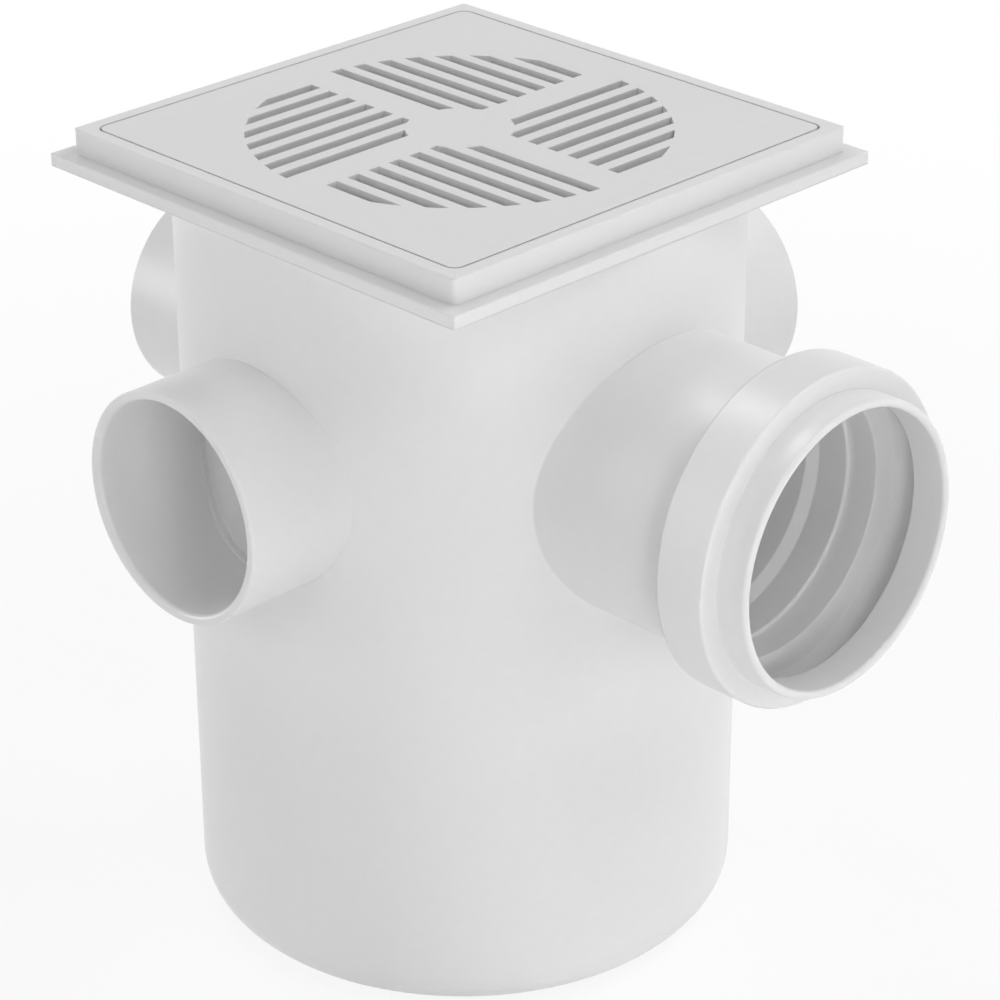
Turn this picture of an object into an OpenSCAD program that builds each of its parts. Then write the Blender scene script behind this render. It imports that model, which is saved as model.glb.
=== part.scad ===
// Gully trap: a round pot with three inlet sockets, a ring-seal outlet, a square grate
// in a frame, and a down-turned elbow inside that makes the water seal. Each inlet is
// closed by the pot's own wall, which is cut out where a pipe is joined.
// The origin is the middle of the underside, +Z is up and +X points out of the outlet.

/* [Pot] */
// Outside diameter of the pot, and the side of the flange that covers it
pot_d = 106.2; // [102:0.2:125]
// Wall and floor thickness of the pot
pot_wall = 3; // [2.5:0.5:4]
// Height of the pot from its underside to its rim
pot_h = 152; // [144:1:200]
// Outer radius of the rounded edge round the base
base_round = 8.5; // [5:0.5:14]
// Drop from the rim to the axes of all four branches
branch_drop = 45; // [42:1:56]

/* [Inlets] */
// Bore of an inlet socket
inlet_bore_d = 40.1; // [32:0.1:44]
// Length of the parallel bore behind an inlet's mouth
inlet_parallel = 13; // [8:0.5:15]
// How much the bore narrows in diameter behind it, to grip the pipe
inlet_taper = 1; // [0.4:0.2:1.6]
// Wall of an inlet socket
inlet_wall = 1.9; // [1.5:0.1:3]
// How far an inlet stands out of the pot's side
inlet_reach = 19; // [16:1:40]
// Width of the ledge that stops the pipe
inlet_stop = 0.4; // [0.3:0.1:0.8]
// Depth of the recess behind it, down to the wall that closes the inlet
inlet_recess = 1.3; // [0.4:0.1:1.4]
// Rounding of the bore's edge at the mouth
inlet_round = 1; // [0.3:0.1:1.4]

/* [Outlet] */
// Bore of the outlet socket
socket_bore_d = 51; // [50:0.5:54]
// Bore behind the socket, where the water runs
flow_bore_d = 46.8; // [42:0.2:48]
// Distance from the pot's side to the pipe stop
neck_len = 21; // [18:1:40]
// Height of the step that stops the pipe
stop_step = 0.8; // [0.5:0.1:1.2]
// Parallel bore between the pipe stop and the ring groove
socket_land = 6.2; // [4:0.2:20]
// Width of the ring groove
groove_w = 8.2; // [6:0.2:10]
// Depth of the ring groove
groove_deep = 4.4; // [3:0.1:5]
// Wall between the ring groove and the bell's front face
bell_front = 1; // [0.8:0.1:2]
// Length of the collar in front of the ring groove
collar_len = 7.2; // [5:0.2:10]
// Bore of the collar, a little wider than the socket to lead the pipe in
collar_bore_d = 51.8; // [51.2:0.2:54]
// Wall of the outlet socket
socket_wall = 1.6; // [1.4:0.1:2.4]

/* [Frame] */
// How far the flange shows round the raised frame
flange_lip = 3.1; // [2:0.1:6]
// Thickness of the flange
flange_t = 2.4; // [1.8:0.2:4]
// Height of the raised frame above the flange
frame_rise = 4.8; // [4.4:0.2:8]
// Width of the raised frame's rim
rim_w = 2.8; // [2:0.2:3.6]
// Width of the ledge that carries the grate
ledge_w = 2; // [1:0.5:4]
// Length of the spigot inside the pot
spigot_len = 13; // [8:1:14]
// Wall of the spigot
spigot_wall = 2.4; // [1.6:0.2:3]
// Play between the spigot and the pot
spigot_play = 0.3; // [0.2:0.1:0.6]

/* [Grate] */
// Thickness of the grate
grate_t = 4; // [3:0.5:4]
// Gap all round the grate
grate_gap = 0.4; // [0.2:0.1:0.8]
// Width of a slot
slot_w = 2.6; // [2:0.2:3.4]
// Distance from one slot to the next
slot_pitch = 5; // [4.4:0.2:8]
// Diameter of the circle that the slots end on
slot_circle_d = 78.5; // [60:0.5:80]
// Diameter of the plain disc in the middle
hub_d = 20.2; // [10:0.2:30]
// Depth of the ribs under the grate
rib_deep = 4; // [2:0.5:8]
// Width of the ribs under the grate
rib_w = 2.4; // [1.6:0.2:4]

/* [Trap] */
// Depth of the elbow's mouth below the outlet's lowest line
seal_depth = 50; // [30:1:56]
// Wall of the elbow
elbow_wall = 2; // [1.6:0.2:3]
// Play between the elbow's spigot and the outlet bore
elbow_play = 0.15; // [0.1:0.05:0.4]
// Length of the elbow's spigot inside the outlet, from the pot's inner face
elbow_spigot = 6; // [4:1:10]
// Width of the saddle flange round the elbow's spigot
saddle_w = 4; // [2:0.5:6]
// Bore of the rodding eye
eye_bore_d = 27; // [20:0.5:30]
// Height of the rodding eye above the elbow's crown
eye_rise = 3; // [2:0.5:5]
// Thickness of the plug's head
plug_head_t = 2; // [1.5:0.5:3]
// Height of the plug's grip
grip_h = 6; // [4:0.5:7]

/* [Hidden] */
$fn = 96;

// Overlap that lets one cut run clear through another
eps = 0.01;
// Small chamfer on moulded edges
edge = 0.2;
// Colours of the mouldings
shell_white = [0.79, 0.79, 0.79];
grate_white = [0.77, 0.77, 0.77];
trap_white = [0.76, 0.76, 0.755];

// Pot
pot_r = pot_d / 2;
pot_ri = pot_r - pot_wall;
axis_z = pot_h - branch_drop;
inner_round = max(base_round - pot_wall, 1);

// Inlets
inlet_ri = inlet_bore_d / 2;
inlet_r = inlet_ri + inlet_wall;
inlet_end = pot_r + inlet_reach;
inlet_ledge_r = pot_r - 0.3;
closed_r = inlet_ledge_r - inlet_recess;
inlet_root_ri = inlet_ri - inlet_taper / 2;

// Outlet, along its own axis from the pot's axis
socket_ri = socket_bore_d / 2;
flow_ri = flow_bore_d / 2;
stop_ri = socket_ri - stop_step;
stop_x = pot_r + neck_len;
flow_x = stop_x - 6.4;
flow_cone = 2.2;
groove_back_x = stop_x + socket_land;
groove_front_x = groove_back_x + groove_w;
outlet_end = groove_front_x + collar_len;
groove_ri = socket_ri + groove_deep;
neck_r = socket_ri + socket_wall;
collar_ri = max(collar_bore_d / 2, socket_ri);
collar_r = collar_ri + socket_wall;
lip_round = socket_wall / 2;
bell_r = groove_ri + socket_wall;
bell_round = 0.5;
bell_slope = 0.6;

// Frame and grate
flange_side = pot_d;
frame_side = flange_side - 2 * flange_lip;
opening_side = frame_side - 2 * rim_w;
grate_side = opening_side - 2 * grate_gap;
flange_z = pot_h;
frame_top = pot_h + flange_t + frame_rise;
ledge_z = frame_top - grate_t;
spigot_r = pot_ri - spigot_play;
spigot_ri = spigot_r - spigot_wall;
ledge_r = min(opening_side / 2 - ledge_w, spigot_ri);
frame_corner_r = 1.2;
flange_corner_r = 0.3;
grate_corner_r = 1.9;
slot_r = slot_circle_d / 2;
slots_in_quarter = floor((slot_r - slot_w) / slot_pitch);
bar_half = slot_pitch - slot_w / 2;

// Trap
elbow_r = flow_ri - elbow_play;
elbow_ri = elbow_r - elbow_wall;
bend_r = elbow_r + 1.8;
bend_x = sqrt(pot_ri * pot_ri - pow(elbow_r + saddle_w, 2)) - 4;
leg_x = bend_x - bend_r;
mouth_z = axis_z - flow_ri - seal_depth;
eye_ri = eye_bore_d / 2;
eye_r = eye_ri + elbow_wall;
eye_top = axis_z + elbow_r + eye_rise;
plug_play = 0.15;

// A square with rounded corners
module rounded_square(side, r) {
    square([side, side - 2 * r], center = true);
    square([side - 2 * r, side], center = true);
    for (x = [-1, 1], y = [-1, 1])
        translate([x * (side / 2 - r), y * (side / 2 - r)])
            circle(r);
}

// Chamfers the four edges of a square plate whose upper face is at z = 0
module edge_chamfers(side, c) {
    for (a = [0 : 90 : 270])
        rotate(a)
            translate([side / 2, 0, 0])
                rotate([0, 45, 0])
                    cube([c * sqrt(2), side + 2, c * sqrt(2)], center = true);
}

// Lays a shape that was revolved about Z out along a branch at the given angle
module along_branch(angle) {
    translate([0, 0, axis_z])
        rotate([0, 90, angle])
            children();
}

// Half section of the pot's outside
module pot_section() {
    square([pot_r - base_round, pot_h]);
    translate([0, base_round])
        square([pot_r, pot_h - base_round]);
    translate([pot_r - base_round, base_round])
        circle(base_round);
}

// Half section of the pot's inside, open at the rim
module cavity_section() {
    translate([0, pot_wall])
        square([pot_ri - inner_round, pot_h]);
    translate([0, pot_wall + inner_round])
        square([pot_ri, pot_h]);
    translate([pot_ri - inner_round, pot_wall + inner_round])
        circle(inner_round);
}

// Outside of an inlet, from the pot's axis to its mouth
module inlet_outside() {
    rotate_extrude()
        polygon([
            [0, 0],
            [inlet_r, 0],
            [inlet_r, inlet_end - edge],
            [inlet_r - edge, inlet_end],
            [0, inlet_end]
        ]);
}

// Bore of an inlet: tapered at its bottom, then parallel, with a rounded edge at the mouth
module inlet_bore() {
    rotate_extrude() {
        polygon([
            [0, 0],
            [inlet_root_ri, 0],
            [inlet_root_ri, pot_r - 5],
            [inlet_ri, inlet_end - inlet_parallel],
            [inlet_ri, inlet_end + eps],
            [0, inlet_end + eps]
        ]);
        difference() {
            translate([inlet_ri - eps, inlet_end - inlet_round])
                square([inlet_round + eps, inlet_round + eps]);
            translate([inlet_ri + inlet_round, inlet_end - inlet_round])
                circle(inlet_round);
        }
    }
}

// Hollow of the inlet at the given angle: the bore down to a ledge that follows the
// pot's curve, and a slightly narrower hole down to the wall that closes the inlet
module inlet_hollow(angle) {
    difference() {
        along_branch(angle)
            inlet_bore();
        cylinder(h = pot_h, r = inlet_ledge_r);
    }
    difference() {
        along_branch(angle)
            cylinder(h = pot_r, r = inlet_root_ri - inlet_stop);
        cylinder(h = pot_h, r = closed_r);
    }
}

// Outside of the outlet: neck, bell round the ring groove, and collar with a round lip
module outlet_outside() {
    back_x = groove_back_x - socket_wall;
    front_x = groove_front_x + bell_front;
    rotate_extrude() {
        square([neck_r, front_x]);
        translate([0, front_x - eps])
            square([collar_r, outlet_end - lip_round - front_x + eps]);
        translate([collar_r - lip_round, outlet_end - lip_round])
            circle(lip_round);
        polygon([
            [0, back_x],
            [neck_r, back_x],
            [bell_r, back_x + bell_slope],
            [bell_r, front_x - bell_round],
            [bell_r - bell_round, front_x],
            [0, front_x]
        ]);
        translate([bell_r - bell_round, front_x - bell_round])
            circle(bell_round);
    }
}

// Inside of the outlet: water way, pipe stop, socket and ring groove
module outlet_bore() {
    rotate_extrude() {
        polygon([
            [0, 0],
            [flow_ri, 0],
            [flow_ri, flow_x - flow_cone],
            [stop_ri, flow_x],
            [stop_ri, stop_x],
            [socket_ri, stop_x],
            [socket_ri, groove_front_x - eps],
            [collar_ri, groove_front_x - eps],
            [collar_ri, outlet_end + eps],
            [0, outlet_end + eps]
        ]);
        polygon([
            [socket_ri - eps, groove_back_x],
            [socket_ri, groove_back_x],
            [groove_ri, groove_back_x + 0.8],
            [groove_ri, groove_front_x - 1.2],
            [groove_ri - 1.2, groove_front_x],
            [socket_ri - eps, groove_front_x]
        ]);
    }
}

// Pot, inlets and outlet, moulded in one
module gully_body() {
    color(shell_white)
        difference() {
            union() {
                rotate_extrude()
                    pot_section();
                for (a = [90, 180, 270])
                    along_branch(a)
                        inlet_outside();
                along_branch(0)
                    outlet_outside();
            }
            rotate_extrude()
                cavity_section();
            for (a = [90, 180, 270])
                inlet_hollow(a);
            along_branch(0)
                outlet_bore();
        }
}

// Flange, raised frame, ledge and spigot, moulded in one
module grate_frame() {
    color(shell_white)
        difference() {
            union() {
                translate([0, 0, flange_z])
                    linear_extrude(flange_t)
                        rounded_square(flange_side, flange_corner_r);
                translate([0, 0, flange_z])
                    linear_extrude(flange_t + frame_rise)
                        rounded_square(frame_side, frame_corner_r);
                translate([0, 0, pot_h - spigot_len])
                    cylinder(h = spigot_len + eps, r = spigot_r);
            }
            translate([0, 0, ledge_z])
                linear_extrude(grate_t + 1)
                    rounded_square(opening_side, grate_corner_r + grate_gap);
            translate([0, 0, flange_z - 1])
                cylinder(h = frame_top - flange_z + 2, r = ledge_r);
            translate([0, 0, pot_h - spigot_len - 1])
                cylinder(h = spigot_len + 1, r = spigot_ri);
            translate([0, 0, frame_top])
                edge_chamfers(frame_side, edge);
            translate([0, 0, flange_z + flange_t])
                edge_chamfers(flange_side, edge);
        }
}

// One quarter of the slots: parallel strips that start at the cross bar
module slot_quarter() {
    for (i = [1 : slots_in_quarter])
        translate([i * slot_pitch - slot_w / 2, bar_half])
            square([slot_w, slot_r]);
}

// Slotted plate with ribs under its cross bars
module grate() {
    color(grate_white) {
        difference() {
            translate([0, 0, ledge_z])
                linear_extrude(grate_t)
                    rounded_square(grate_side, grate_corner_r);
            translate([0, 0, ledge_z - 1])
                linear_extrude(grate_t + 2)
                    difference() {
                        intersection() {
                            for (q = [0 : 90 : 270])
                                rotate(q)
                                    slot_quarter();
                            circle(slot_r);
                        }
                        circle(hub_d / 2);
                    }
        }
        for (a = [0, 90])
            rotate(a)
                translate([-slot_r, -rib_w / 2, ledge_z - rib_deep])
                    cube([2 * slot_r, rib_w, rib_deep + eps]);
    }
}

// Down-turned elbow with a saddle flange on the pot's wall and a rodding eye on top
module trap_elbow() {
    color(trap_white)
        difference() {
            union() {
                elbow_run(elbow_r, 0);
                translate([leg_x, 0, axis_z - bend_r])
                    cylinder(h = eye_top - axis_z + bend_r, r = eye_r);
                intersection() {
                    translate([0, 0, axis_z - elbow_r - saddle_w])
                        difference() {
                            cylinder(h = 2 * (elbow_r + saddle_w), r = pot_ri - elbow_play);
                            translate([0, 0, -1])
                                cylinder(h = 2 * (elbow_r + saddle_w) + 2,
                                         r = pot_ri - elbow_play - elbow_wall);
                        }
                    along_branch(0)
                        cylinder(h = pot_r, r = elbow_r + saddle_w);
                }
            }
            elbow_run(elbow_ri, 1);
            translate([leg_x, 0, axis_z - bend_r])
                cylinder(h = eye_top - axis_z + bend_r + 1, r = eye_ri);
        }
}

// Solid path of the elbow: spigot, quarter bend and leg, each end run on by the given amount
module elbow_run(r, run_on) {
    translate([bend_x, 0, axis_z])
        rotate([0, 90, 0])
            cylinder(h = pot_ri + elbow_spigot - bend_x + run_on, r = r);
    translate([bend_x, 0, axis_z - bend_r])
        rotate([90, 0, 0])
            rotate([0, 0, 90])
                rotate_extrude(angle = 90)
                    translate([bend_r, 0])
                        circle(r);
    translate([leg_x, 0, mouth_z - run_on])
        cylinder(h = axis_z - bend_r - mouth_z + run_on, r = r);
}

// Push-in plug with a grip bar
module cleanout_plug() {
    plug_r = eye_ri - plug_play;
    plug_deep = eye_rise + 2;
    color(trap_white) {
        difference() {
            union() {
                translate([leg_x, 0, eye_top - plug_deep])
                    cylinder(h = plug_deep + eps, r = plug_r);
                translate([leg_x, 0, eye_top])
                    cylinder(h = plug_head_t, r = eye_r);
            }
            translate([leg_x, 0, eye_top - plug_deep - 1])
                cylinder(h = plug_deep + 1, r = plug_r - elbow_wall);
        }
        translate([leg_x - plug_r + 2, -1.2, eye_top + plug_head_t - eps])
            cube([2 * plug_r - 4, 2.4, grip_h + eps]);
    }
}

gully_body();
grate_frame();
grate();
trap_elbow();
cleanout_plug();
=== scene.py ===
from math import cos, radians, sin

import bpy
from mathutils import Matrix, Vector


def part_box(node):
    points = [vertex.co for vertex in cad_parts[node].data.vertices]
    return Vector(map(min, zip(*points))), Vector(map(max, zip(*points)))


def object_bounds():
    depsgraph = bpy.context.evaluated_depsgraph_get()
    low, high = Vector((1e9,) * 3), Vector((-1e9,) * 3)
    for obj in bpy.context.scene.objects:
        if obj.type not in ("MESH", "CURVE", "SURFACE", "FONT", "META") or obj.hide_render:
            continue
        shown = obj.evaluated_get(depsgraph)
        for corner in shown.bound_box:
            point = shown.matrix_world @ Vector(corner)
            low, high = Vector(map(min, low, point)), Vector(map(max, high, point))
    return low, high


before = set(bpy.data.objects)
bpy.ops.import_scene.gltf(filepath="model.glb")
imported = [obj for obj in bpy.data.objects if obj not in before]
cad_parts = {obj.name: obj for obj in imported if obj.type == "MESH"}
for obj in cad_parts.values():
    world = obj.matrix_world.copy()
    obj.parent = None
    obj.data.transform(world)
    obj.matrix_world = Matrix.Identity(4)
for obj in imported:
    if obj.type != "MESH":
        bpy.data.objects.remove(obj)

cad_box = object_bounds()
scene = bpy.context.scene

# Height of the grate's face, and the middle of the whole object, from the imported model
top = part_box("grate")[1].z
low, high = [Vector(corner) for corner in cad_box]
centre = (low + high) / 2

WHITE = (1, 1, 1, 1)


def node(tree, kind, **inputs):
    """Adds a node and sets its unlinked inputs by name, with _ for a space."""
    made = tree.nodes.new(kind)
    for name, value in inputs.items():
        made.inputs[name.replace("_", " ")].default_value = value
    return made


# ---------------------------------------------------------------- materials

PVC_IOR = 1.53
CLOUD_DARKEST, CLOUD_LIGHTEST = 0.975, 1.015  # shares of the colour
GLOSS_LESS, GLOSS_MORE = 0.04, 0.06  # how far the roughness varies, down and up
# Painted shade: the colour is darkened in inner corners, found by ambient occlusion within
# this reach
PAINTED_SHADE_REACH = 0.01  # metres
PAINTED_SHADE_DEEPEST = 0.35  # share of open sky left in the deepest inner corner
WAVE_STRENGTH, WAVE_HEIGHT = 0.12, 0.0003  # height in metres
SKIN_HEIGHT = 0.00004  # metres
BEVEL_SAMPLES = 8


def painted_corner_shade(tree, colour, corner):
    """The colour with painted shade: darkened down to its corner share where the surface
    is closed in.
    """
    open_share = node(tree, "ShaderNodeAmbientOcclusion", Distance=PAINTED_SHADE_REACH)
    shade = node(tree, "ShaderNodeMapRange", From_Min=PAINTED_SHADE_DEEPEST, From_Max=1.0,
                 To_Min=corner, To_Max=1.0)
    painted_shade = tree.nodes.new("ShaderNodeVectorMath")
    painted_shade.operation = "SCALE"
    tree.links.new(open_share.outputs["AO"], shade.inputs["Value"])
    tree.links.new(colour, painted_shade.inputs["Vector"])
    tree.links.new(shade.outputs["Result"], painted_shade.inputs["Scale"])
    return painted_shade.outputs["Vector"]


def moulded_plastic(name, colour, roughness, grain, edge, corner=1.0):
    """White moulded PVC: faint clouding, uneven gloss, a fine skin, softened edges and,
    where corner is below 1, painted shade in the inner corners.

    grain is the strength of the skin and edge the radius of the softened edges, in metres.
    corner is the share of the colour that the painted shade leaves in the deepest inner
    corners.
    """
    material = bpy.data.materials.new(name)
    material.use_nodes = True
    tree = material.node_tree
    link = tree.links.new
    shader = tree.nodes["Principled BSDF"]
    shader.inputs["IOR"].default_value = PVC_IOR

    place = tree.nodes.new("ShaderNodeTexCoord").outputs["Object"]

    # Faint clouding where the melt flowed, and a finer mottle in the pigment
    cloud = node(tree, "ShaderNodeTexNoise", Scale=14.0, Detail=3.0, Roughness=0.55)
    mottle = node(tree, "ShaderNodeTexNoise", Scale=420.0, Detail=2.0, Roughness=0.5)
    both = node(tree, "ShaderNodeMix", Factor=0.35)
    ramp = tree.nodes.new("ShaderNodeValToRGB")
    dark, light = ramp.color_ramp.elements
    dark.position, light.position = 0.3, 0.7
    dark.color = [c * CLOUD_DARKEST for c in colour] + [1]
    light.color = [c * CLOUD_LIGHTEST for c in colour] + [1]
    link(place, cloud.inputs["Vector"])
    link(place, mottle.inputs["Vector"])
    link(cloud.outputs["Fac"], both.inputs["A"])
    link(mottle.outputs["Fac"], both.inputs["B"])
    link(both.outputs["Result"], ramp.inputs["Fac"])
    clouded = ramp.outputs["Color"]
    # Painted shade: the colour darkens in the inner corners, where the surface is closed
    # in
    if corner < 1:
        clouded = painted_corner_shade(tree, clouded, corner)
    link(clouded, shader.inputs["Base Color"])

    # Gloss varies a little over each face
    handling = node(tree, "ShaderNodeTexNoise", Scale=55.0, Detail=4.0, Roughness=0.6)
    gloss = node(tree, "ShaderNodeMapRange", From_Min=0.3, From_Max=0.7,
                 To_Min=roughness - GLOSS_LESS, To_Max=roughness + GLOSS_MORE)
    link(place, handling.inputs["Vector"])
    link(handling.outputs["Fac"], gloss.inputs["Value"])
    link(gloss.outputs["Result"], shader.inputs["Roughness"])

    # Softened edges, under a slight waviness and the fine skin of the mould
    soft = node(tree, "ShaderNodeBevel", Radius=edge)
    soft.samples = BEVEL_SAMPLES
    wave = node(tree, "ShaderNodeTexNoise", Scale=38.0, Detail=1.0, Roughness=0.4)
    skin = node(tree, "ShaderNodeTexNoise", Scale=2600.0, Detail=2.0, Roughness=0.6)
    wavy = node(tree, "ShaderNodeBump", Strength=WAVE_STRENGTH, Distance=WAVE_HEIGHT)
    fine = node(tree, "ShaderNodeBump", Strength=grain, Distance=SKIN_HEIGHT)
    link(place, wave.inputs["Vector"])
    link(place, skin.inputs["Vector"])
    link(wave.outputs["Fac"], wavy.inputs["Height"])
    link(skin.outputs["Fac"], fine.inputs["Height"])
    link(soft.outputs["Normal"], wavy.inputs["Normal"])
    link(wavy.outputs["Normal"], fine.inputs["Normal"])
    link(fine.outputs["Normal"], shader.inputs["Normal"])
    return material


POT_WHITE = (0.79, 0.79, 0.79)
GRATE_WHITE = (0.78, 0.78, 0.78)
TRAP_WHITE = (0.76, 0.76, 0.755)

FINISHES = {
    # piece: material, colour, roughness, grain, edge, corner (share of colour left by the
    # painted corner shade)
    "gully_body": moulded_plastic("pot_pvc", POT_WHITE, 0.34, 0.2, 0.0005),
    "grate_frame": moulded_plastic("frame_pvc", POT_WHITE, 0.34, 0.2, 0.0006, 0.84),
    "grate": moulded_plastic("grate_pvc", GRATE_WHITE, 0.45, 0.4, 0.0002),
    "trap_elbow": moulded_plastic("trap_pvc", TRAP_WHITE, 0.34, 0.2, 0.0003),
    "cleanout_plug": moulded_plastic("plug_pvc", TRAP_WHITE, 0.36, 0.25, 0.0003),
}
for name, finish in FINISHES.items():
    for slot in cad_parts[name].material_slots:
        slot.material = finish


# ---------------------------------------------------------------- floor and background

AMBIENT = 0.06  # strength of the light that comes from all round
FLOOR_HALF = 4.0  # metres
PAPER = (0.9, 0.9, 0.9, 1)
FADE_START, FADE_END = 0.1, 0.5  # metres from the middle of the floor
FADE_LEAST = 0.86  # share of plain white at the start, where the shadow shows most


def seen_directly(tree):
    """1 for rays that should meet plain white: camera, glossy and transmission."""
    path = tree.nodes.new("ShaderNodeLightPath")
    total = path.outputs["Is Camera Ray"]
    for name in ("Is Glossy Ray", "Is Transmission Ray"):
        either = tree.nodes.new("ShaderNodeMath")
        either.operation = "MAXIMUM"
        tree.links.new(total, either.inputs[0])
        tree.links.new(path.outputs[name], either.inputs[1])
        total = either.outputs[0]
    return total


def blended(tree, share, dim, bright, target):
    """Links a mix of two shaders to the target: dim where the share is 0, bright at 1."""
    mix = tree.nodes.new("ShaderNodeMixShader")
    tree.links.new(share, mix.inputs[0])
    tree.links.new(dim.outputs[0], mix.inputs[1])
    tree.links.new(bright.outputs[0], mix.inputs[2])
    tree.links.new(mix.outputs[0], target)


def white_world():
    """A world that is white to look at and lights the object at the ambient strength."""
    world = bpy.data.worlds.new("studio")
    world.use_nodes = True
    tree = world.node_tree
    lit = tree.nodes["Background"]
    lit.inputs["Color"].default_value = WHITE
    lit.inputs["Strength"].default_value = AMBIENT
    white = node(tree, "ShaderNodeBackground", Color=WHITE, Strength=1.0)
    blended(tree, seen_directly(tree), lit, white,
            tree.nodes["World Output"].inputs["Surface"])
    return world


def floor_paper():
    """Pale paper that fades to plain white away from the object."""
    material = bpy.data.materials.new("floor_paper")
    material.use_nodes = True
    tree = material.node_tree
    tree.nodes.remove(tree.nodes["Principled BSDF"])
    paper = node(tree, "ShaderNodeBsdfDiffuse", Color=PAPER)
    white = node(tree, "ShaderNodeEmission", Color=WHITE, Strength=1.0)

    place = tree.nodes.new("ShaderNodeTexCoord").outputs["Object"]
    reach = tree.nodes.new("ShaderNodeVectorMath")
    reach.operation = "LENGTH"
    fade = node(tree, "ShaderNodeMapRange", From_Min=FADE_START, From_Max=FADE_END,
                To_Min=FADE_LEAST, To_Max=1.0)
    fade.interpolation_type = "SMOOTHSTEP"
    share = tree.nodes.new("ShaderNodeMath")
    share.operation = "MULTIPLY"
    tree.links.new(place, reach.inputs[0])
    tree.links.new(reach.outputs["Value"], fade.inputs["Value"])
    tree.links.new(seen_directly(tree), share.inputs[0])
    tree.links.new(fade.outputs["Result"], share.inputs[1])
    blended(tree, share.outputs[0], paper, white,
            tree.nodes["Material Output"].inputs["Surface"])
    return material


def pale_floor():
    """A wide pale plane that takes the object's shadow."""
    mesh = bpy.data.meshes.new("floor")
    corners = [(x * FLOOR_HALF, y * FLOOR_HALF, low.z)
               for x, y in ((-1, -1), (1, -1), (1, 1), (-1, 1))]
    mesh.from_pydata(corners, [], [(0, 1, 2, 3)])
    floor = bpy.data.objects.new("floor", mesh)
    scene.collection.objects.link(floor)
    mesh.materials.append(floor_paper())


scene.world = white_world()
pale_floor()


# ---------------------------------------------------------------- soft studio light

LAMP_DISTANCE = 1.2  # metres from the middle of the object

SOFT_BOXES = [
    # name, azimuth, elevation, size in metres, watts
    ("right_low", 0, 5, 0.45, 0.84),
    ("right_back_low", 30, 5, 0.45, 2.4),
    ("back_low", 90, 5, 0.45, 2.9),
    ("left_low", -150, 5, 0.45, 4.1),
    ("front_left_low", -60, 5, 0.45, 0.45),
    ("left_front", -105, 28, 0.45, 0.96),
    ("front_left", -75, 28, 0.45, 1.7),
    ("right_high", 0, 50, 0.45, 1.9),
    ("right_back_high", 36, 50, 0.45, 0.65),
    ("back_right_high", 72, 50, 0.45, 4.15),
    ("left_high", -124, 72, 0.45, 1.45),
    ("back_left_high", 175, 60, 0.3, 2.05),
]
# The gloss doesn't show these, which would burn out the edges seen at a grazing angle
FILLS = ("right_back_low", "back_low", "back_right_high", "front_left")

STRIP_AZIMUTH, STRIP_DISTANCE = -29, 0.45
STRIP_WIDTH, STRIP_HEIGHT = 0.1, 0.3
STRIP_GAP = 0.002  # metres between the strip and the floor
STRIP_WATTS = 0.43


def direction(azimuth, elevation):
    """The unit vector at two angles in degrees, with azimuth counted from x towards y."""
    a, e = radians(azimuth), radians(elevation)
    return Vector((cos(e) * cos(a), cos(e) * sin(a), sin(e)))


def lamp(name, place, size, height, watts, mirrored=True):
    """A soft box at the place, square to the line from the middle of the object.

    mirrored says whether the gloss of the plastic shows the box itself.
    """
    data = bpy.data.lights.new(name, "AREA")
    data.shape = "RECTANGLE"
    data.size = size
    data.size_y = height
    data.energy = watts
    box = bpy.data.objects.new(name, data)
    scene.collection.objects.link(box)
    box.location = place
    box.rotation_euler = (place - centre).to_track_quat("Z", "Y").to_euler()
    box.visible_camera = False
    box.visible_glossy = mirrored


for name, azimuth, elevation, size, watts in SOFT_BOXES:
    lamp(name, centre + direction(azimuth, elevation) * LAMP_DISTANCE, size, size, watts,
         mirrored=name not in FILLS)

# A tall strip near the front gives the pot its long soft highlight
strip_rise = Vector((0, 0, STRIP_HEIGHT / 2 + STRIP_GAP))
lamp("front_strip", direction(STRIP_AZIMUTH, 0) * STRIP_DISTANCE + strip_rise,
     STRIP_WIDTH, STRIP_HEIGHT, STRIP_WATTS)


# ---------------------------------------------------------------- camera

def camera(position, azimuth, elevation, lens, shift):
    """A level camera that looks back along the given direction."""
    data = bpy.data.cameras.new("camera")
    data.sensor_width = 36
    data.lens = lens
    data.shift_x, data.shift_y = shift
    data.clip_start = 0.01
    made = bpy.data.objects.new("camera", data)
    scene.collection.objects.link(made)
    back = direction(azimuth, elevation)
    right = Vector((0, 0, 1)).cross(back).normalized()
    up = back.cross(right)
    turn = Matrix((right, up, back)).transposed().to_4x4()
    made.matrix_world = Matrix.Translation(position) @ turn
    return made


scene.camera = camera(
    position=Vector((0.41986, -0.40677, top + 0.21965)),
    azimuth=-45.34,
    elevation=27.38,
    lens=122.13,
    shift=(-0.02933, 0.0309),
)
scene.view_settings.view_transform = "Standard"
